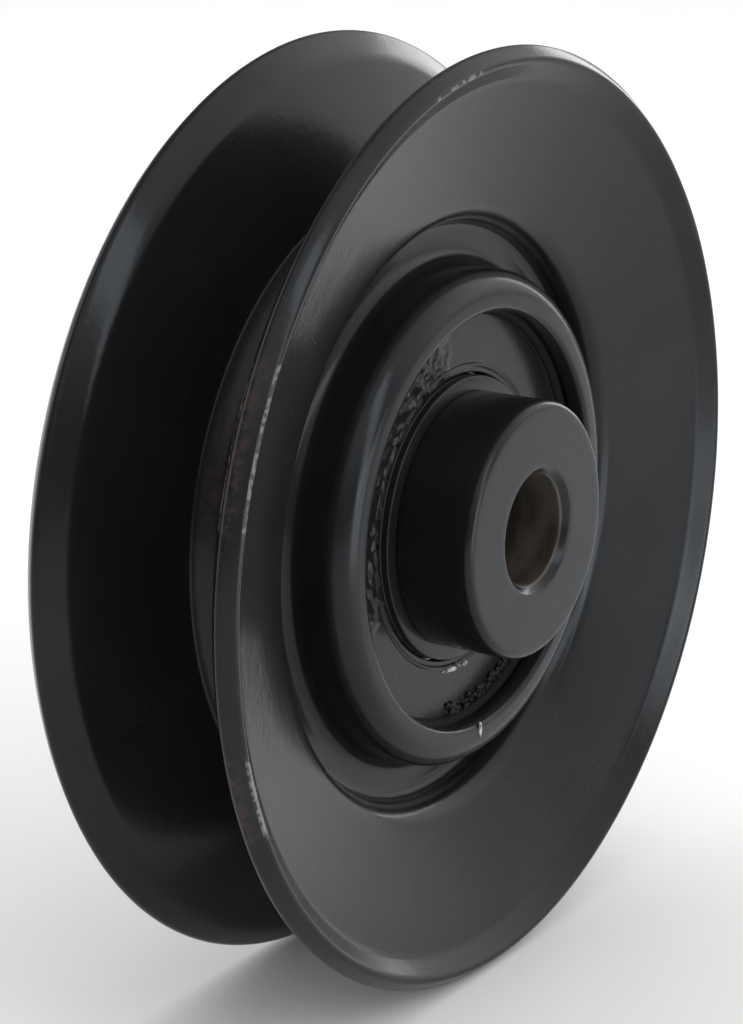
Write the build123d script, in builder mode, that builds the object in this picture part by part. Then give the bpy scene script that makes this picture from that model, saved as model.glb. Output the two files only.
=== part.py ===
from build123d import *
from math import cos, radians, sin, tan
import os

os.makedirs("parts", exist_ok=True)

# V-belt idler pulley: two pressed steel halves, welded back to back, hold a sealed
# ball bearing that turns on a two-piece bushing. The wheel turns about Y, the long
# bushing points to -Y, and the origin is on the axis in the groove's mid-plane.

# Pressed halves
rim_diameter = 82.55
sheet = 2.0
groove_angle = 36.0  # included angle of the belt faces
groove_floor_radius = 27.9
groove_floor_half_width = 3.35
lip_angle = 40.0  # rim lip, from the plane of the wheel
lip_crease_radius = 38.8  # where the lip leaves the belt face, mid-sheet
edge_round = 0.5
stop_lip_radius = 18.5  # edge of the inturned lip that stops the bearing
stop_edge_round = 0.6
bends = (2.5, 1.3, 2.1, 2.4, 1.3)  # mid-sheet radii: lip, root, web, cup, stop

# Ball bearing
bearing_bore_radius = 8.5
bearing_radius = 20.0
bearing_half_width = 6.0
ring_chamfer = 0.6
ball_radius = 3.3735
ball_count = 8
ball_circle_radius = 14.5
ball_clearance = 0.01
race_conformity = 1.04  # race radius over ball radius
inner_land_radius = 12.6
outer_land_radius = 16.6
cage_sheet = 0.7
cage_inner_radius = 13.4
cage_outer_radius = 15.7
pocket_clearance = 0.1
rivet_radius = 0.5
rivet_head_radius = 1.0
rivet_head_height = 0.5

# Seals, measured forward from the mid-plane
seal_radius = 18.1
seal_inner_radius = 12.8
seal_inside = 4.4
seal_outside = 5.3
seal_keeper_radius = 17.95  # narrow lip of the ring that keeps the seal in
seal_seat_chamfer = 0.4
insert_thickness = 0.3
insert_inner_radius = 13.6
insert_outer_radius = 17.4

# Bushings
bolt_hole_radius = 4.9
bolt_hole_chamfer = 0.7
shoulder_radius = 11.3
shoulder_round = 0.7
front_length = 13.36  # mid-plane to end face
rear_length = 7.28

# Profiles are drawn as (radius, distance forward) on this plane and turned about Y.
section = Plane(origin=(0, 0, 0), x_dir=(0, 0, 1), z_dir=(1, 0, 0))
# Round details are drawn on the plane of the wheel, facing forward.
wheel = Plane.XZ


def save(name, solid):
    solid.label = name
    export_step(solid, f"parts/{name}.step")


def pressed_middle_line():
    """Corners of a half's mid-sheet line, from the rim to the stop lip."""
    half = sheet / 2
    slope = radians(groove_angle / 2)
    lip = radians(lip_angle)

    def belt_face(radius):
        rise = (radius - groove_floor_radius) * tan(slope)
        return groove_floor_half_width + rise + half / cos(slope)

    rounding = edge_round * (cos(lip) + sin(lip) - 1)
    rim_radius = rim_diameter / 2 - half * sin(lip) + rounding
    crease = belt_face(lip_crease_radius)
    wall_radius = groove_floor_radius - half
    cup_radius = bearing_radius + half
    stop = bearing_half_width + half
    return [
        (rim_radius, crease + (rim_radius - lip_crease_radius) * tan(lip)),
        (lip_crease_radius, crease),
        (wall_radius, belt_face(wall_radius)),
        (wall_radius, half),
        (cup_radius, half),
        (cup_radius, stop),
        (stop_lip_radius, stop),
    ]


# Front pressing: rim lip, belt face, recess wall, web, bearing cup and stop lip
with BuildPart() as front_half:
    with BuildSketch(section) as strip:
        with BuildLine():
            middle = FilletPolyline(*pressed_middle_line(), radius=bends, mode=Mode.PRIVATE)
            belt_side, open_side = (
                offset(middle, sheet / 2, side=side, closed=False, mode=Mode.ADD)
                for side in (Side.LEFT, Side.RIGHT)
            )
            Line(belt_side @ 0, open_side @ 1)
            Line(belt_side @ 1, open_side @ 0)
        make_face()
        corners = strip.vertices().sort_by(Axis.X)
        fillet(corners[:2], stop_edge_round)
        rim_corners = strip.vertices().sort_by(Axis.X)[-2:]
        fillet(rim_corners, edge_round)
    revolve(axis=Axis.Y)
save("front_half", front_half.part)

with BuildPart() as rear_half:
    mirror(front_half.part, about=wheel)
save("rear_half", rear_half.part)


# Bearing rings: turned blanks with a torus-shaped race, on the ball circle
race_radius = ball_radius * race_conformity


def race(centre_radius):
    with BuildSketch(section) as circle:
        with Locations((centre_radius, 0)):
            Circle(race_radius)
    return circle.sketch


race_offset = race_radius - ball_radius - ball_clearance
with BuildPart() as inner_ring:
    with BuildSketch(section):
        with BuildLine():
            Polyline(
                (bearing_bore_radius, 0),
                (bearing_bore_radius, bearing_half_width - ring_chamfer),
                (bearing_bore_radius + ring_chamfer, bearing_half_width),
                (inner_land_radius, bearing_half_width),
                (inner_land_radius, 0),
                close=True,
            )
        make_face()
        mirror(about=Plane.XZ)
    revolve(axis=Axis.Y)
    revolve(race(ball_circle_radius + race_offset), axis=Axis.Y, mode=Mode.SUBTRACT)
save("inner_ring", inner_ring.part)

with BuildPart() as outer_ring:
    with BuildSketch(section):
        with BuildLine():
            Polyline(
                (bearing_radius, 0),
                (bearing_radius, bearing_half_width - ring_chamfer),
                (bearing_radius - ring_chamfer, bearing_half_width),
                (seal_keeper_radius + seal_seat_chamfer, bearing_half_width),
                (seal_keeper_radius, bearing_half_width - seal_seat_chamfer),
                (seal_keeper_radius, seal_outside),
                (seal_radius, seal_outside),
                (seal_radius, seal_inside),
                (outer_land_radius, seal_inside),
                (outer_land_radius, 0),
                close=True,
            )
        make_face()
        mirror(about=Plane.XZ)
    revolve(axis=Axis.Y)
    revolve(race(ball_circle_radius - race_offset), axis=Axis.Y, mode=Mode.SUBTRACT)
save("outer_ring", outer_ring.part)

# Balls, counted round the ball circle from +X
ball_places = PolarLocations(ball_circle_radius, ball_count)
for number, place in enumerate(ball_places, start=1):
    with BuildPart(wheel) as ball:
        with Locations(place):
            Sphere(ball_radius)
    save(f"ball_{number}", ball.part)

# Ribbon cage: two pressed bands that cup the balls, riveted between the pockets
pocket_radius = ball_radius + pocket_clearance
rivet_places = PolarLocations(ball_circle_radius, ball_count, start_angle=180 / ball_count)

with BuildSketch(wheel) as cage_band:
    Circle(cage_outer_radius)
    Circle(cage_inner_radius, mode=Mode.SUBTRACT)

with BuildPart(wheel) as cage_front:
    with ball_places:
        Sphere(pocket_radius + cage_sheet)
    extrude(cage_band.sketch, amount=pocket_radius + cage_sheet, mode=Mode.INTERSECT)
    extrude(cage_band.sketch, amount=cage_sheet)
    with ball_places:
        Sphere(pocket_radius, mode=Mode.SUBTRACT)
    with rivet_places:
        Cylinder(rivet_radius, 3 * cage_sheet, mode=Mode.SUBTRACT)
save("cage_front", cage_front.part)

with BuildPart() as cage_rear:
    mirror(cage_front.part, about=wheel)
save("cage_rear", cage_rear.part)

with BuildPart(wheel) as cage_rivets:
    with rivet_places:
        Cylinder(rivet_radius, 2 * cage_sheet)
    for side in (1, -1):
        with BuildSketch(wheel.offset(side * cage_sheet)):
            with rivet_places:
                Circle(rivet_head_radius)
        extrude(amount=side * rivet_head_height)
save("cage_rivets", cage_rivets.part)

# Seals: a rubber ring with its own lip, and a steel insert behind its face
face_back = seal_inside + insert_thickness
with BuildPart() as front_seal:
    with BuildSketch(section):
        with BuildLine():
            Polyline(
                (seal_inner_radius, seal_inside),
                (insert_inner_radius, seal_inside),
                (insert_inner_radius, face_back),
                (insert_outer_radius, face_back),
                (insert_outer_radius, seal_inside),
                (seal_radius, seal_inside),
                (seal_radius, seal_outside),
                (seal_inner_radius, seal_outside),
                close=True,
            )
        make_face()
    revolve(axis=Axis.Y)
save("front_seal", front_seal.part)

with BuildPart() as front_seal_insert:
    with BuildSketch(wheel.offset(seal_inside)):
        Circle(insert_outer_radius)
        Circle(insert_inner_radius, mode=Mode.SUBTRACT)
    extrude(amount=insert_thickness)
save("front_seal_insert", front_seal_insert.part)

with BuildPart() as rear_seal:
    mirror(front_seal.part, about=wheel)
save("rear_seal", rear_seal.part)

with BuildPart() as rear_seal_insert:
    mirror(front_seal_insert.part, about=wheel)
save("rear_seal_insert", rear_seal_insert.part)


# Bushings: a spigot in the bearing's bore and a shoulder against its inner ring
def bushing_section(length):
    with BuildSketch(section) as profile:
        with BuildLine():
            Polyline(
                (bolt_hole_radius, 0),
                (bearing_bore_radius, 0),
                (bearing_bore_radius, bearing_half_width),
                (shoulder_radius, bearing_half_width),
                (shoulder_radius, length),
                (bolt_hole_radius, length),
                close=True,
            )
        make_face()
        end_corners = profile.vertices().group_by(Axis.Y)[-1].sort_by(Axis.X)
        chamfer(end_corners[0], bolt_hole_chamfer)
        fillet(end_corners[-1], shoulder_round)
    return profile.sketch


with BuildPart() as front_bushing:
    revolve(bushing_section(front_length), axis=Axis.Y)
save("front_bushing", front_bushing.part)

with BuildPart() as rear_bushing:
    revolve(mirror(bushing_section(rear_length), about=wheel), axis=Axis.Y)
save("rear_bushing", rear_bushing.part)
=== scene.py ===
import math
import random

import bmesh
import bpy
from mathutils import Matrix, Vector, noise


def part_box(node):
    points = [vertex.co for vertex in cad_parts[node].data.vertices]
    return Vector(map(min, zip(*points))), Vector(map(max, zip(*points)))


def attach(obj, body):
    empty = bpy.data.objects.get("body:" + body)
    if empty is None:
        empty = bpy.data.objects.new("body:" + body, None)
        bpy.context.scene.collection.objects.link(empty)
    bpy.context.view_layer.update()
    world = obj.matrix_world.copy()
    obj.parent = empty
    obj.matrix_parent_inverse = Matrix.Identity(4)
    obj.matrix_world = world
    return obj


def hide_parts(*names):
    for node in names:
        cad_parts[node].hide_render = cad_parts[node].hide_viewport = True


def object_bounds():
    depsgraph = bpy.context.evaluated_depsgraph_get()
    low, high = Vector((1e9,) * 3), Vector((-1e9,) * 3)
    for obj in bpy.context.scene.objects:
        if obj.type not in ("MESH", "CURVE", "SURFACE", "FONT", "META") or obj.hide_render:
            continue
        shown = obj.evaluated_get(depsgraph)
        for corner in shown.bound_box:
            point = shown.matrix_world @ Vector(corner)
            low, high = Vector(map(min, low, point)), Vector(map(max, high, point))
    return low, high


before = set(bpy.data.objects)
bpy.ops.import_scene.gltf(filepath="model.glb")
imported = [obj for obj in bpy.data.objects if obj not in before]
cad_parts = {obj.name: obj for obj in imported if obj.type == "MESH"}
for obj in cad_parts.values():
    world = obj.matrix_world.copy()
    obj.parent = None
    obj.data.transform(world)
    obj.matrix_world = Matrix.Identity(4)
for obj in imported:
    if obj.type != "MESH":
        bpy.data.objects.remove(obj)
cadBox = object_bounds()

# The wheel turns about Y and its long bushing points to -Y.
# The pieces' dictionaries are in millimetres and degrees.
mm = 0.001
fullTurn = 2 * math.pi
sharpAngle = 50  # edges that bend more than this are shaded sharp


def reach(node, axis=0, side=1):
    # how far a node of the frame goes along an axis, in millimetres
    return abs(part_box(node)[side][axis]) / mm


def polar(co):
    # radius, angle from +X towards +Z in degrees, and forward distance of a point, in millimetres
    return math.hypot(co.x, co.z) / mm, math.degrees(math.atan2(co.z, co.x)), -co.y / mm


def window(value, low, high, soft):
    # 1 between low and high, fading to 0 over the soft distance outside them
    return max(0.0, min(1.0, 1 - max(low - value, value - high, 0) / soft))


def drawSection(bm, corners, closed=True):
    # a section in the plane of the axis, from corners of (radius, forward, rounding, segments)
    verts = [bm.verts.new((radius * mm, -forward * mm, 0)) for radius, forward, *_ in corners]
    pairs = zip(verts, verts[1:] + verts[:1]) if closed else zip(verts, verts[1:])
    for start, end in list(pairs):
        bm.edges.new((start, end))
    for vert, (_, _, rounding, segments) in zip(verts, corners):
        if not rounding:
            continue
        one, two = ((edge.other_vert(vert).co - vert.co) for edge in vert.link_edges)
        turn = math.pi - one.angle(two)
        bmesh.ops.bevel(bm, geom=[vert], offset=rounding * mm * math.tan(turn / 2), segments=segments,
                        profile=0.5, affect="VERTICES", material=-1)


def spinSection(bm, steps, longest):
    # adds points along the straight runs, sweeps an eighth of a turn, then doubles it up to a whole one
    for edge in list(bm.edges):
        cuts = int(edge.calc_length() / (longest * mm))
        if cuts:
            bmesh.ops.subdivide_edges(bm, edges=[edge], cuts=cuts)
    bmesh.ops.spin(bm, geom=bm.verts[:] + bm.edges[:], cent=(0, 0, 0), axis=(0, 1, 0),
                   angle=fullTurn / 8, steps=steps // 8, use_merge=False)
    for share in (8, 4, 2):
        copy = bmesh.ops.duplicate(bm, geom=bm.verts[:] + bm.edges[:] + bm.faces[:])["geom"]
        bmesh.ops.rotate(bm, cent=(0, 0, 0), matrix=Matrix.Rotation(fullTurn / share, 3, "Y"),
                         verts=[item for item in copy if isinstance(item, bmesh.types.BMVert)])
    bmesh.ops.remove_doubles(bm, verts=bm.verts, dist=1e-6)
    bmesh.ops.recalc_face_normals(bm, faces=bm.faces)


def mirrored(bm):
    # the same piece turned over to the other side of the wheel
    bmesh.ops.scale(bm, vec=(1, -1, 1), verts=bm.verts)
    bmesh.ops.recalc_face_normals(bm, faces=bm.faces)


def finishPiece(bm, name, material, body, stands, values=None):
    # values are the patterns painted on its points, each with a function of the point's place
    mesh = bpy.data.meshes.new(name)
    bm.to_mesh(mesh)
    bm.free()
    mesh.shade_smooth()
    mesh.set_sharp_from_angle(angle=math.radians(sharpAngle))
    mesh.materials.append(material)
    for attribute, strengthAt in (values or {}).items():
        layer = mesh.attributes.new(attribute, "FLOAT", "POINT")
        layer.data.foreach_set("value", [strengthAt(vert.co) for vert in mesh.vertices])
    piece = bpy.data.objects.new(name, mesh)
    bpy.context.scene.collection.objects.link(piece)
    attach(piece, body)
    if stands:
        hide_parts(*stands)
    print(f"  {name}: {len(mesh.polygons)} faces")


class Wire:
    # an output that can be used in sums like a number
    def __init__(self, tree, socket):
        self.tree = tree
        self.socket = socket

    def maths(self, operation, *values):
        return addNode(self.tree, "ShaderNodeMath", {"operation": operation}, dict(enumerate(values)))

    def __add__(self, other):
        return self.maths("ADD", self, other)

    def __sub__(self, other):
        return self.maths("SUBTRACT", self, other)

    def __rsub__(self, other):
        return self.maths("SUBTRACT", other, self)

    def __mul__(self, other):
        return self.maths("MULTIPLY", self, other)

    def __truediv__(self, other):
        return self.maths("DIVIDE", self, other)

    __radd__ = __add__

    def over(self, low, high):
        # 0 below low, 1 above high, smooth between
        return addNode(self.tree, "ShaderNodeMapRange", {"interpolation_type": "SMOOTHSTEP"},
                       {"Value": self, "From Min": low, "From Max": high})


def addNode(tree, kind, settings=None, sockets=None, output=0):
    node = tree.nodes.new(kind)
    for key, value in (settings or {}).items():
        setattr(node, key, value)
    for key, value in (sockets or {}).items():
        if isinstance(value, Wire):
            tree.links.new(value.socket, node.inputs[key])
        elif isinstance(value, tuple) and node.inputs[key].type == "RGBA":
            node.inputs[key].default_value = (*value, 1)
        else:
            node.inputs[key].default_value = value
    return Wire(tree, node.outputs[output]) if node.outputs else None


class Finish:
    # one material, with the places of its pattern ready to use
    def __init__(self, name):
        self.material = bpy.data.materials.new(name)
        self.material.use_nodes = True
        self.tree = self.material.node_tree
        self.tree.nodes.clear()
        self.place = self.node("ShaderNodeTexCoord", output="Object")
        self.x, self.y, self.z = (
            self.node("ShaderNodeSeparateXYZ", sockets={0: self.place}, output=axis) for axis in "XYZ"
        )
        self.radius = self.x.maths("SQRT", self.x * self.x + self.z * self.z) / mm
        self.angle = self.x.maths("ARCTAN2", self.z, self.x) * (180 / math.pi)
        self.forward = self.y * (-1 / mm)

    def node(self, kind, settings=None, sockets=None, output=0):
        return addNode(self.tree, kind, settings, sockets, output)

    def noise(self, size, detail, place=None, distortion=0.0):
        # size is the width of the pattern's cells, in millimetres unless the place has units of its own
        unit = 1 if place else mm
        return self.node("ShaderNodeTexNoise", sockets={
            "Vector": place or self.place, "Scale": 1 / (size * unit), "Detail": detail,
            "Distortion": distortion})

    def turned(self, across, along):
        # places stretched round the axis, for marks left by turning: across in mm, along in degrees
        return self.node("ShaderNodeCombineXYZ", sockets={
            "X": self.radius / across, "Y": self.forward / across, "Z": self.angle / along})

    def mix(self, factor, first, second):
        return self.node("ShaderNodeMix", {"data_type": "RGBA"}, {0: factor, 6: first, 7: second}, 2)

    def attribute(self, name):
        return self.node("ShaderNodeAttribute", {"attribute_name": name}, output="Fac")

    def bump(self, height, strength, depth):
        return self.node("ShaderNodeBump", sockets={
            "Height": height, "Strength": strength, "Distance": depth * mm})

    def surface(self, **sockets):
        named = {key.replace("_", " "): value for key, value in sockets.items()}
        shader = self.node("ShaderNodeBsdfPrincipled", sockets=named)
        self.node("ShaderNodeOutputMaterial", sockets={"Surface": shader})
        return self.material


paintLook = {
    "black": (0.0105, 0.0108, 0.0114),
    "faded": (0.0140, 0.0142, 0.0148),
    "dust": (0.10, 0.098, 0.092),
    "primer": (0.042, 0.026, 0.022),
    # light grey of chipped paint on the rim, also a painted highlight along its front corner
    "chipAndHighlight": (0.20, 0.182, 0.172),
    "rust": (0.060, 0.026, 0.018),
    # near-black of dried crumbs, darker than the paint as a painted shade
    "crumbAndShade": (0.004, 0.004, 0.004),
    # pale colour painted on the beads and the run as a painted highlight
    "skin": (0.50, 0.49, 0.48),  # on thick drops
    "gloss": 0.17,  # roughness of the pulley's paint
    "duller": 0.02,  # added on the bushings and seals
    "ior": 1.35,
    "tint": (0.88, 0.94, 1.0),  # its reflections are a little cold
    "relief": 0.35,
    "reliefDepth": 0.022,
}
bore = {"edge": (4.95, 5.15), "dark": (0.045, 0.039, 0.031), "light": (0.105, 0.092, 0.078)}
crust = {"radius": (17.6, 17.8), "roughness": 0.4}  # on the outer ring, by the stop lip


def paintCoat(finish, gloss):
    # black paint shared by the pulley, the seals and the bushings: colour, roughness and surface
    look = paintLook
    clouds = finish.noise(11, detail=4)
    fine = finish.noise(0.9, detail=3)
    specks = finish.noise(0.22, detail=1).over(0.70, 0.78) * finish.noise(6, detail=3).over(0.45, 0.7)
    rubbed = finish.noise(1.0, detail=3, place=finish.turned(0.35, 14)).over(0.58, 0.75)
    colour = finish.mix(clouds.over(0.35, 0.7), look["black"], look["faded"])
    colour = finish.mix(specks * 0.35, colour, look["dust"])
    roughness = gloss + clouds * 0.10 - 0.05 + fine * 0.05 + specks * 0.2 + rubbed * 0.02
    skin = finish.noise(0.55, detail=1) + finish.noise(4.5, detail=2) * 3
    return colour, roughness, skin


def paintRelief(finish, height):
    return finish.bump(height, paintLook["relief"], paintLook["reliefDepth"])


def pulleyPaint():
    finish = Finish("pulleyPaint")
    colour, roughness, skin = paintCoat(finish, paintLook["gloss"])
    wornAndHighlight = finish.attribute("wornAndHighlight")
    blobs = finish.noise(0.65, detail=2).over(0.44, 0.56)
    bare = wornAndHighlight.over(0.45, 0.6) * blobs + wornAndHighlight.over(1.05, 1.2)
    thin = finish.attribute("thin") * finish.noise(0.8, detail=4).over(0.38, 0.60)
    stain = finish.attribute("stain") * finish.noise(1.3, detail=4).over(0.35, 0.65)
    # chipped paint on the rim's front corner, and a painted highlight lightening that corner
    colour = finish.mix(wornAndHighlight * 0.12, colour, paintLook["chipAndHighlight"])
    colour = finish.mix(thin * 0.75, colour, paintLook["primer"])
    colour = finish.mix(stain * 0.6, colour, paintLook["rust"])
    colour = finish.mix(bare * 0.7, colour, paintLook["chipAndHighlight"])
    roughness = roughness + thin * 0.12 + stain * 0.2 + bare * 0.05
    return finish.surface(Base_Color=colour, Roughness=roughness, IOR=paintLook["ior"],
                          Specular_Tint=paintLook["tint"], Normal=paintRelief(finish, skin + bare * 2.5))


def bushingPaint():
    finish = Finish("bushingPaint")
    colour, roughness, skin = paintCoat(finish, paintLook["gloss"] + paintLook["duller"])
    inside = 1 - finish.radius.over(*bore["edge"])  # the hole is only tinted by overspray
    oil = finish.noise(2.4, detail=4, place=finish.turned(1.0, 40))
    boreColour = finish.mix(oil.over(0.35, 0.65), bore["dark"], bore["light"])
    colour = finish.mix(inside, colour, boreColour)
    rings = finish.noise(1.0, detail=1, place=finish.turned(0.22, 60))
    return finish.surface(Base_Color=colour, Roughness=roughness + inside * 0.12, Metallic=inside * 0.25,
                          IOR=paintLook["ior"], Specular_Tint=paintLook["tint"],
                          Normal=paintRelief(finish, skin + rings * 0.8))


def sealPaint():
    finish = Finish("sealPaint")
    colour, roughness, skin = paintCoat(finish, paintLook["gloss"] + paintLook["duller"])
    crumbsAndShade = finish.attribute("crumbsAndShade")
    grit = finish.noise(0.5, detail=4)
    # crumbs darken the seal: lumps of dried paint, and a painted shade on the seal's left and under the stop
    # lip
    colour = finish.mix(crumbsAndShade * grit.over(0.4, 0.6), colour, paintLook["crumbAndShade"])
    roughness = roughness + crumbsAndShade * 0.22
    relief = finish.bump(skin + crumbsAndShade * grit * 5, 0.4, 0.03)
    return finish.surface(Base_Color=colour, Roughness=roughness, IOR=paintLook["ior"],
                          Specular_Tint=paintLook["tint"], Normal=relief)


def wetPaint():
    # runs and beads that dried glossy; the pale streaks in their colour are a painted highlight
    finish = Finish("wetPaint")
    highlightStreak = finish.noise(0.5, detail=2)
    # pale streaks painted on the beads and the run as a painted highlight
    colour = finish.mix(highlightStreak.over(0.36, 0.56), paintLook["faded"], paintLook["skin"])
    return finish.surface(Base_Color=colour, Roughness=0.10 + highlightStreak * 0.08, IOR=1.5, Coat_Weight=0.8,
                          Normal=finish.bump(highlightStreak, 0.2, 0.02))


def groundSteel(name, shade, roughness, lay, paintedFrom=None, sheen=0.5):
    # steel with grinding marks round the axis; lay is the marks' spacing in mm
    finish = Finish(name)
    marks = finish.noise(1.0, detail=3, place=finish.turned(lay, 30))
    film = finish.noise(3.5, detail=4)
    light = tuple(shade * tint for tint in (1.0, 0.985, 0.96))
    dark = tuple(part * 0.72 for part in light)
    colour = finish.mix(marks * 0.6 + film * 0.4, dark, light)
    rough = roughness + film * 0.10 + marks * 0.06 - 0.08
    if not paintedFrom:
        return finish.surface(Base_Color=colour, Roughness=rough, Metallic=0.95, IOR=2.5,
                              Normal=finish.bump(marks, 0.25, 0.01))
    # the faces outside the seals were painted with the rest
    sprayed, sprayedRough, skin = paintCoat(finish, paintLook["gloss"])
    bare = 1 - finish.x.maths("ABSOLUTE", finish.forward).over(paintedFrom, paintedFrom + 0.2)
    colour = finish.mix(bare, sprayed, colour)
    sprayedRough = sprayedRough + finish.radius.over(*crust["radius"]) * crust["roughness"]
    rough = sprayedRough + bare * (rough - sprayedRough)
    return finish.surface(Base_Color=colour, Roughness=rough, Metallic=bare * 0.95, IOR=paintLook["ior"],
                          Specular_IOR_Level=sheen, Normal=paintRelief(finish, skin))


def stampedSteel(name, tint, roughness):
    # rolled strip: no lay, small pits and an oily film
    finish = Finish(name)
    pits = finish.noise(0.25, detail=3).over(0.62, 0.75)
    film = finish.noise(2.2, detail=4, distortion=0.6)
    dark = tuple(part * 0.6 for part in tint)
    colour = finish.mix(film.over(0.3, 0.7), dark, tint)
    return finish.surface(Base_Color=colour, Roughness=roughness + film * 0.14 + pits * 0.2, Metallic=0.9,
                          IOR=2.4, Normal=finish.bump(film - pits, 0.3, 0.012))


print("finishes")
pulleyFinish = pulleyPaint()
bushingFinish = bushingPaint()
sealFinish = sealPaint()
wetFinish = wetPaint()
innerRingFinish = groundSteel("innerRingSteel", 0.52, 0.24, 0.08, paintedFrom=5.2)
outerRingFinish = groundSteel("outerRingSteel", 0.52, 0.24, 0.08, paintedFrom=5.2, sheen=0.1)
ballFinish = groundSteel("polishedBallSteel", 0.62, 0.12, 0.5)
cageFinish = stampedSteel("cageStrip", (0.42, 0.40, 0.36), 0.32)
rivetFinish = stampedSteel("rivetSteel", (0.50, 0.48, 0.45), 0.28)
insertFinish = stampedSteel("insertSteel", (0.36, 0.35, 0.33), 0.38)


half = {
    "sheet": 2.0,
    "grooveAngle": 36.0,  # between the two belt faces
    "floorRadius": 27.9,
    "floorHalfWidth": 3.35,
    "creaseRadius": 39.29,  # where the rim's lip starts
    "lipAngle": 40.0,
    "edgeRound": 0.5,
    "stopRadius": 18.5,
    "bends": {"lip": 3.5, "root": 0.3, "web": 3.1, "cup": 3.4, "stop": 0.3},  # on the belt's side
    "sharpCorner": 60,  # edges that bend more than this are rounded
    "steps": 480,
    "spacing": 0.9,  # longest run between two points of the section
    "waviness": 0.012,
    "waveSize": 13,
}

# Where the rim was knocked: from one angle to another, and how hard
# The paint is chipped on the rim's front corner there, lightened there also as a painted highlight, and thin
# on its outer one
knocks = {
    "front": [(149, 167, 1.0), (-166, -156, 1.3), (97, 107, 0.62), (30, 33, 0.3), (-62, -59, 0.3)],
    "rear": [(60, 65, 0.35), (-99, -93, 0.3), (9, 12, 0.35)],
}
knock = {"corner": (39.85, 40.3), "outer": (41.05, 42), "fade": 0.22, "angleFade": 1.2,
         "dent": 0.05, "dentSize": 1.1}
rusty = {"angles": (150, 168), "angleFade": 3, "radii": (27.0, 28.6), "fade": 0.3,
         "forward": {"front": (-0.2, 2.2), "rear": (-2.4, 0.2)}}


def knockAt(side, co, band):
    radius, angle, _ = polar(co)
    low, high = knock[band]
    place = window(radius, low, high, knock["fade"])
    if not place:
        return 0
    return place * max(window(angle, start, end, knock["angleFade"]) * force
                       for start, end, force in knocks[side])


def dentAt(side, co):
    force = knockAt(side, co, "corner")
    return force and force * knock["dent"] * noise.noise(co / (knock["dentSize"] * mm))


def stainAt(side, co):
    # rust that bleeds at the groove's floor
    radius, angle, forward = polar(co)
    return (window(angle, *rusty["angles"], rusty["angleFade"])
            * window(radius, *rusty["radii"], rusty["fade"])
            * window(forward, *rusty["forward"][side], rusty["fade"]))


def buildHalf(side):
    rimRadius = reach(f"{side}_half")
    bearingRadius = reach("outer_ring")
    bearingHalfWidth = reach("outer_ring", axis=1)
    slope, lip = math.radians(half["grooveAngle"] / 2), math.radians(half["lipAngle"])
    cornerRadius = rimRadius + half["edgeRound"] * (math.cos(lip) + math.sin(lip) - 1)
    creaseForward = half["floorHalfWidth"] + (half["creaseRadius"] - half["floorRadius"]) * math.tan(slope)
    rimForward = creaseForward + (cornerRadius - half["creaseRadius"]) * math.tan(lip)
    bends = half["bends"]
    bm = bmesh.new()
    drawSection(bm, [
        (cornerRadius, rimForward, 0, 0),
        (half["creaseRadius"], creaseForward, bends["lip"], 6),
        (half["floorRadius"], half["floorHalfWidth"], bends["root"], 6),
        (half["floorRadius"], 0, bends["web"], 8),
        (bearingRadius, 0, bends["cup"], 8),
        (bearingRadius, bearingHalfWidth, bends["stop"], 8),
        (half["stopRadius"], bearingHalfWidth, 0, 0),
    ], closed=False)
    spinSection(bm, half["steps"], half["spacing"])
    topFace = max(bm.faces, key=lambda face: face.calc_center_median().length)
    if topFace.normal.y < 0:  # walls grow away from the belt, so the skin faces the belt first
        bmesh.ops.reverse_faces(bm, faces=bm.faces)
    bmesh.ops.solidify(bm, geom=bm.faces[:], thickness=half["sheet"] * mm)
    bmesh.ops.recalc_face_normals(bm, faces=bm.faces)
    corners = [edge for edge in bm.edges if edge.calc_face_angle(0) > math.radians(half["sharpCorner"])]
    bmesh.ops.bevel(bm, geom=corners, offset=half["edgeRound"] * mm, offset_type="OFFSET", segments=4,
                    profile=0.5, affect="EDGES", material=-1)
    if side == "rear":
        mirrored(bm)
    bm.normal_update()
    for vert in bm.verts:
        radius = polar(vert.co)[0]
        if radius > bearingRadius + half["sheet"]:  # the bearing's seat stays true
            drift = noise.noise(vert.co / (half["waveSize"] * mm)) * half["waviness"]
            vert.co += vert.normal * (drift + dentAt(side, vert.co)) * mm
    finishPiece(bm, f"{side}HalfPressing", pulleyFinish, "pulley", [f"{side}_half"],
                values={"wornAndHighlight": lambda co: knockAt(side, co, "corner"),
                        "thin": lambda co: knockAt(side, co, "outer"),
                        "stain": lambda co: stainAt(side, co)})


print("pressed halves")
for side in ("front", "rear"):
    buildHalf(side)


bushing = {
    "boltHole": 4.9,
    "holeChamfer": 0.7,
    "spigotRadius": 8.5,
    "shoulderRound": 0.7,
    "smallRound": 0.15,  # on its other corners
    "steps": 256,
    "spacing": 0.6,
}


def buildBushing(side):
    shoulderRadius = reach(f"{side}_bushing")
    length = reach(f"{side}_bushing", axis=1, side=0 if side == "front" else 1)
    seat = reach("inner_ring", axis=1)
    hole, chamfer, small = bushing["boltHole"], bushing["holeChamfer"], bushing["smallRound"]
    bm = bmesh.new()
    drawSection(bm, [
        (hole, 0, 0, 0),
        (bushing["spigotRadius"], 0, small, 3),
        (bushing["spigotRadius"], seat, 0, 0),
        (shoulderRadius, seat, small, 3),
        (shoulderRadius, length, bushing["shoulderRound"], 8),
        (hole + chamfer, length, small, 3),
        (hole, length - chamfer, small, 3),
    ])
    spinSection(bm, bushing["steps"], bushing["spacing"])
    if side == "rear":
        mirrored(bm)
    finishPiece(bm, f"{side}Bushing", bushingFinish, "hub", [f"{side}_bushing"])


print("bushings")
for side in ("front", "rear"):
    buildBushing(side)


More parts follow.
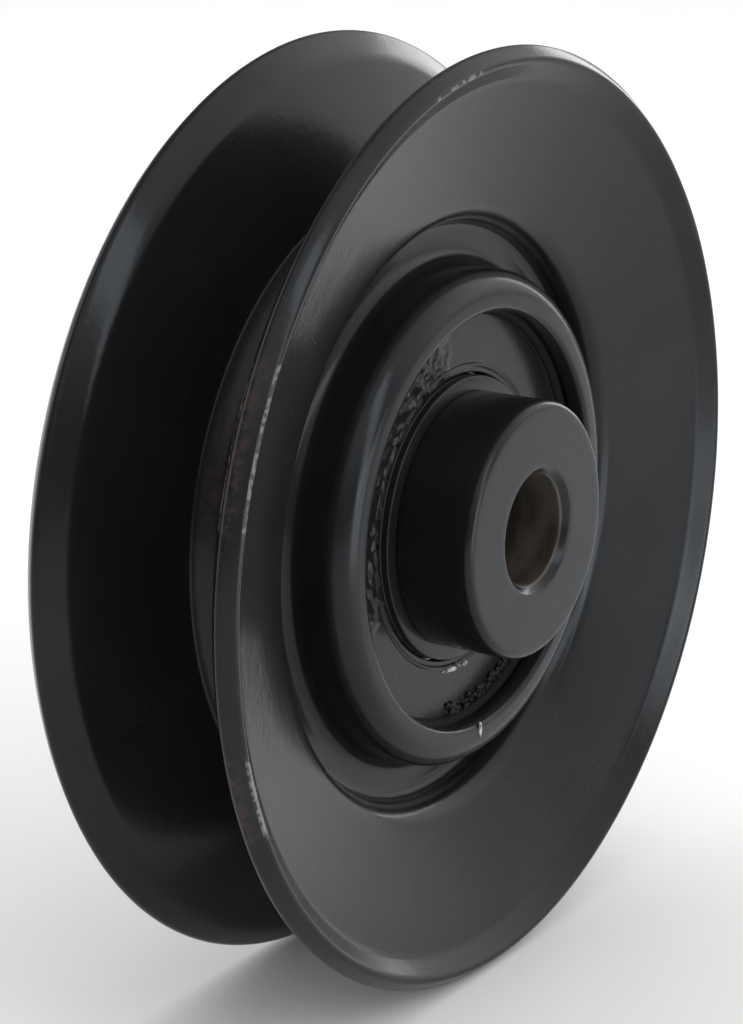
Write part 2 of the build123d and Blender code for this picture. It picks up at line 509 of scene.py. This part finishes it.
seal = {
    "innerRadius": 12.8,
    "inside": 4.4,
    "outside": 5.3,
    "insertBack": 4.7,
    "insertInner": 13.6,
    "insertOuter": 17.4,
    "grooveRadius": 13.45,
    "grooveWidth": 0.25,  # to each side of its middle
    "grooveDepth": 0.16,
    "round": 0.12,
    "steps": 360,
    "spacing": 0.16,
}
# the lumps' darker colour is also a painted shade on the seal's left
crumbPatch = {  # lumps of dried paint that are part of the front seal's face
    "angles": (104, 200),
    "angleFade": 9,
    "radii": (13.2, 16.6),
    "fade": 0.5,
    "height": 0.38,
    "lumps": [(0.85, 0.9), (0.4, 0.4)],  # size and strength
    "level": 0.35,
}


def crumbAt(co):
    radius, angle, forward = polar(co)
    if forward < seal["outside"] - 0.05:
        return 0
    patch = crumbPatch
    place = (window(angle % 360, *patch["angles"], patch["angleFade"])
             * window(radius, *patch["radii"], patch["fade"]))
    lumps = sum(noise.noise(co / (size * mm)) * strength for size, strength in patch["lumps"])
    return place * max(0.0, min(1.0, patch["level"] + lumps))


def buildSeal(side):
    inner, outer = seal["innerRadius"], reach(f"{side}_seal")
    groove, deep = seal["grooveRadius"], seal["outside"] - seal["grooveDepth"]
    bm = bmesh.new()
    drawSection(bm, [
        (inner, seal["inside"], 0, 0),
        (seal["insertInner"], seal["inside"], 0, 0),
        (seal["insertInner"], seal["insertBack"], 0, 0),
        (seal["insertOuter"], seal["insertBack"], 0, 0),
        (seal["insertOuter"], seal["inside"], 0, 0),
        (outer, seal["inside"], 0, 0),
        (outer, seal["outside"], seal["round"], 3),
        (groove + seal["grooveWidth"], seal["outside"], seal["round"], 3),
        (groove, deep, seal["round"], 3),
        (groove - seal["grooveWidth"], seal["outside"], seal["round"], 3),
        (inner, seal["outside"], seal["round"], 3),
    ])
    spinSection(bm, seal["steps"], seal["spacing"])
    if side == "front":
        for vert in bm.verts:
            vert.co.y -= crumbPatch["height"] * crumbAt(vert.co) * mm
    else:
        mirrored(bm)
    strength = crumbAt if side == "front" else (lambda co: 0.0)
    finishPiece(bm, f"{side}Seal", sealFinish, "pulley", [f"{side}_seal"],
                values={"crumbsAndShade": strength})


print("seals")
for side in ("front", "rear"):
    buildSeal(side)


# Crumbs, beads and a run of paint that dried on the bearing's front; the crumbs also darken the crescent
# under the stop lip as a painted shade
crumbBand = {
    "seed": 11,
    "count": 170,
    "angles": (-98, -44),
    "radius": 17.7,
    "spread": 0.75,
    "size": (0.09, 0.27),
    "stretch": (0.8, 2.2),  # length along the arc over width
    "lift": (-0.05, 0.25),  # above the seal's face
    # how strongly the crumbs are darkened and roughened; their darkness is partly a painted shade
    "grit": 1.6,
}
beads = [  # angle, radius, forward, length along the arc, width, height
    (-95.8, 13.75, 5.3, 2.5, 0.55, 0.36),
    (-90.6, 13.70, 5.3, 1.2, 0.48, 0.32),
    (-85.2, 13.85, 5.3, 0.8, 0.52, 0.30),
]
drip = {
    "angle": -91.5,
    "inner": 18.35,
    "outer": 19.9,
    "forward": 8.0,
    "sunk": 0.02,
    "width": 0.52,
    "height": 0.2,
}


def sitOnWheel(bm, verts, angle, radius, forward, scale):
    # scales a lump (radial, along the arc, forward) and sets it down at a place on the wheel
    turn = Matrix.Rotation(-math.radians(angle), 4, "Y")
    bmesh.ops.scale(bm, vec=(scale[0] * mm, scale[2] * mm, scale[1] * mm), verts=verts)
    bmesh.ops.translate(bm, vec=(radius * mm, -forward * mm, 0), verts=verts)
    bmesh.ops.transform(bm, matrix=turn, verts=verts)


def buildCrumbs():
    pick = random.Random(crumbBand["seed"])
    bm = bmesh.new()
    for _ in range(crumbBand["count"]):
        verts = bmesh.ops.create_icosphere(bm, subdivisions=2, radius=1)["verts"]
        offset = Vector([pick.uniform(-50, 50) for _ in range(3)])
        for vert in verts:
            vert.co *= 1 + 0.55 * noise.noise(vert.co * 1.7 + offset)
        size = pick.uniform(*crumbBand["size"])
        angle = pick.uniform(*crumbBand["angles"])
        radius = crumbBand["radius"] + pick.uniform(-1, 0.5) * crumbBand["spread"]
        stretch = pick.uniform(*crumbBand["stretch"])
        forward = seal["outside"] + pick.uniform(*crumbBand["lift"])
        sitOnWheel(bm, verts, angle, radius, forward, (size, size * stretch, size * 0.8))
    bmesh.ops.recalc_face_normals(bm, faces=bm.faces)
    finishPiece(bm, "driedPaintCrumbsAndShade", sealFinish, "pulley", None,
                values={"crumbsAndShade": lambda co: crumbBand["grit"]})


def buildBeads():
    bm = bmesh.new()
    for angle, radius, forward, length, width, height in beads:
        verts = bmesh.ops.create_uvsphere(bm, u_segments=32, v_segments=16, radius=1)["verts"]
        for vert in verts:
            vert.co *= 1 + 0.12 * noise.noise(vert.co * 1.6 + Vector((angle, 0, 0)))
        sitOnWheel(bm, verts, angle, radius, forward, (width / 2, length / 2, height))
    bmesh.ops.recalc_face_normals(bm, faces=bm.faces)
    finishPiece(bm, "driedPaintBeads", wetFinish, "pulley", None)


def buildDrip():
    bm = bmesh.new()
    verts = bmesh.ops.create_uvsphere(bm, u_segments=32, v_segments=24, radius=1)["verts"]
    for vert in verts:
        vert.co.z *= 1 - 0.35 * vert.co.x + 0.2 * noise.noise(vert.co * 2)  # wider at its inner end
    length = drip["outer"] - drip["inner"]
    sitOnWheel(bm, verts, drip["angle"], drip["inner"] + length / 2, drip["forward"] - drip["sunk"],
               (length / 2, drip["width"] / 2, drip["height"]))
    bmesh.ops.recalc_face_normals(bm, faces=bm.faces)
    finishPiece(bm, "driedPaintRun", wetFinish, "pulley", None)


print("dried paint")
buildCrumbs()
buildBeads()
buildDrip()


bearing = {
    "chamfer": 0.6,
    "chamferRound": 0.15,
    "landRound": 0.12,
    "boreRadius": 8.5,
    "race": 3.5084,  # radius of the groove that the balls run in
    "ballCount": 8,
    "ballCircle": 14.5,
    "clearance": 0.01,
    "seatChamfer": 0.4,
    "outerLand": 16.6,
    "sealRadius": 18.1,
    "keeper": 17.95,  # narrow lip that keeps the seal in
    "steps": 256,
    "raceSteps": 24,
    "spacing": 1.5,
}


def racePoints(centre, land, side):
    # a race's round bottom in the section, from one land to the other
    race, count = bearing["race"], bearing["raceSteps"]
    widest = math.asin(math.sqrt(race ** 2 - (land - centre) ** 2) / race)
    angles = [widest * (2 * k / count - 1) for k in range(count + 1)]
    return [(centre + side * race * math.cos(a), race * math.sin(a), 0, 0) for a in angles]


def raceOffset():
    # how far a race's centre stands off the ball circle
    ballRadius = reach("ball_1") - bearing["ballCircle"]
    return bearing["race"] - ballRadius - bearing["clearance"]


def buildInnerRing():
    land, wide = reach("inner_ring"), reach("inner_ring", axis=1)
    hole, cut = bearing["boreRadius"], bearing["chamfer"]
    soft, landSoft = bearing["chamferRound"], bearing["landRound"]
    bm = bmesh.new()
    drawSection(bm, [
        (hole, -wide + cut, soft, 2),
        (hole + cut, -wide, soft, 2),
        (land, -wide, landSoft, 2),
        *racePoints(bearing["ballCircle"] + raceOffset(), land, -1),
        (land, wide, landSoft, 2),
        (hole + cut, wide, soft, 2),
        (hole, wide - cut, soft, 2),
    ])
    spinSection(bm, bearing["steps"], bearing["spacing"])
    finishPiece(bm, "innerRing", innerRingFinish, "hub", ["inner_ring"])


def buildOuterRing():
    outer, wide = reach("outer_ring"), reach("outer_ring", axis=1)
    land, cut = bearing["outerLand"], bearing["chamfer"]
    keeper, seat, lead = bearing["keeper"], bearing["sealRadius"], bearing["seatChamfer"]
    mouth = [
        (land, seal["inside"]),
        (seat, seal["inside"]),
        (seat, seal["outside"]),
        (keeper, seal["outside"]),
        (keeper, wide - lead),
        (keeper + lead, wide),
        (outer - cut, wide),
        (outer, wide - cut),
    ]
    bm = bmesh.new()
    drawSection(bm, [
        *racePoints(bearing["ballCircle"] - raceOffset(), land, 1),
        *[(radius, forward, 0, 0) for radius, forward in mouth],
        *[(radius, -forward, 0, 0) for radius, forward in reversed(mouth)],
    ])
    spinSection(bm, bearing["steps"], bearing["spacing"])
    finishPiece(bm, "outerRing", outerRingFinish, "pulley", ["outer_ring"])


def buildBalls():
    for number in range(1, bearing["ballCount"] + 1):
        low, high = (Vector(corner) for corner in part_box(f"ball_{number}"))
        bm = bmesh.new()
        bmesh.ops.create_icosphere(bm, subdivisions=5, radius=(high.x - low.x) / 2)
        bmesh.ops.translate(bm, vec=(low + high) / 2, verts=bm.verts)
        finishPiece(bm, f"ball{number}", ballFinish, f"ball_{number}", [f"ball_{number}"])


print("bearing")
buildInnerRing()
buildOuterRing()
buildBalls()

# These keep their shape from the CAD and only get a finish
keptFinishes = {
    "cage_front": cageFinish,
    "cage_rear": cageFinish,
    "cage_rivets": rivetFinish,
    "front_seal_insert": insertFinish,
    "rear_seal_insert": insertFinish,
}
for node, finish in keptFinishes.items():
    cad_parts[node].data.materials.clear()
    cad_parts[node].data.materials.append(finish)


studio = {
    "floorLevel": cadBox[0][2],
    "floorSize": 2.4,
    "table": ((0.86, 0.86, 0.86), (0.89, 0.89, 0.89)),
    "lampColour": (0.97, 0.985, 1.0),
    "room": 0.30,  # brightness of the room round the table
    "panelCore": 8,  # degrees from a panel's middle that are fully lit
    "panels": [  # soft panels of the tent: azimuth, elevation, where it fades out in degrees, and brightness
        (-160, 10, 40, 1.3),
        (-40, 52, 48, 0.85),
        (50, 36, 46, 1.1),
        (75, 12, 44, 0.6),
    ],
}
softboxes = {  # places are in metres
    "frontStrip": {"place": (-0.06, -0.40, 0.21), "target": (-0.01, 0, 0.05), "size": (0.13, 0.50),
                   "brightness": 2.4, "lean": 20},
    "lowCard": {"place": (0.012, -0.165, -0.008), "target": (0.012, 0, -0.008), "size": (0.105, 0.066),
                "brightness": 2.2},
    "rightBox": {"place": (0.42, 0.005, 0.085), "target": (0, 0, 0), "size": (0.18, 0.21),
                 "brightness": 3.1},
    "overheadBox": {"place": (0.36, 0.30, 0.45), "target": (0.36, 0.30, 0), "size": (1.0, 0.7),
                    "brightness": 1.3, "reflected": False},
}


def facing(azimuth, elevation):
    # direction from the wheel, where azimuth 0 is straight ahead of the long bushing and 90 is +X
    a, e = math.radians(azimuth), math.radians(elevation)
    return Vector((math.sin(a) * math.cos(e), -math.cos(a) * math.cos(e), math.sin(e)))


def lightTent():
    world = bpy.data.worlds.new("lightTent")
    bpy.context.scene.world = world
    world.use_nodes = True
    tree = world.node_tree
    tree.nodes.clear()
    direction = addNode(tree, "ShaderNodeTexCoord", output="Generated")
    glow = studio["room"]
    core = math.cos(math.radians(studio["panelCore"]))
    for azimuth, elevation, spread, brightness in studio["panels"]:
        near = addNode(tree, "ShaderNodeVectorMath", {"operation": "DOT_PRODUCT"},
                       {0: direction, 1: tuple(facing(azimuth, elevation))}, output="Value")
        glow = glow + near.over(math.cos(math.radians(spread)), core) * brightness
    seen = addNode(tree, "ShaderNodeLightPath", output="Is Camera Ray")
    backdrop = addNode(tree, "ShaderNodeBackground", sockets={"Strength": glow * (1 - seen) + seen})
    addNode(tree, "ShaderNodeOutputWorld", sockets={"Surface": backdrop})


def softbox(name, place, target, size, brightness, lean=0, reflected=True):
    # brightness is how white the box looks from the wheel, and lean turns it about its own middle
    light = bpy.data.lights.new(name, "AREA")
    light.shape = "RECTANGLE"
    light.size, light.size_y = size
    light.energy = brightness * math.pi * size[0] * size[1]
    light.color = studio["lampColour"]
    lamp = bpy.data.objects.new(name, light)
    bpy.context.scene.collection.objects.link(lamp)
    lamp.location = place
    aim = (Vector(target) - Vector(place)).to_track_quat("-Z", "Y").to_matrix()
    lamp.rotation_euler = (aim @ Matrix.Rotation(math.radians(lean), 3, "Z")).to_euler()
    lamp.visible_camera = False
    lamp.visible_glossy = reflected


def buildTable():
    bm = bmesh.new()
    bmesh.ops.create_grid(bm, x_segments=1, y_segments=1, size=studio["floorSize"] / 2)
    bmesh.ops.translate(bm, vec=(0, 0, studio["floorLevel"]), verts=bm.verts)
    mesh = bpy.data.meshes.new("tableTop")
    bm.to_mesh(mesh)
    bm.free()
    finish = Finish("paleTable")
    grain = finish.noise(30, detail=3)
    colour = finish.mix(grain, *studio["table"])
    mesh.materials.append(finish.surface(Base_Color=colour, Roughness=0.85, IOR=1.2))
    floor = bpy.data.objects.new("tableTop", mesh)
    bpy.context.scene.collection.objects.link(floor)


camera = {  # distances are in metres
    "azimuth": -56.98,
    "elevation": 15.93,
    "distance": 0.2747,
    "aside": (-0.00316, -0.00035),  # right and up of the line to the wheel's middle
    "lens": 109.2,
}


def placeCamera():
    data = bpy.data.cameras.new("camera")
    data.lens = camera["lens"]
    data.clip_start = 0.01
    data.clip_end = 20
    view = bpy.data.objects.new("camera", data)
    bpy.context.scene.collection.objects.link(view)
    a = math.radians(camera["azimuth"])
    back = facing(camera["azimuth"], camera["elevation"])
    right = Vector((math.cos(a), math.sin(a), 0))
    up = back.cross(right)
    across, above = camera["aside"]
    axes = Matrix((right, up, back)).transposed().to_4x4()
    view.matrix_world = Matrix.Translation(back * camera["distance"] + right * across + up * above) @ axes
    bpy.context.scene.camera = view


print("studio")
buildTable()
lightTent()
for name, box in softboxes.items():
    softbox(name, **box)
placeCamera()
bpy.context.scene.view_settings.view_transform = "Standard"
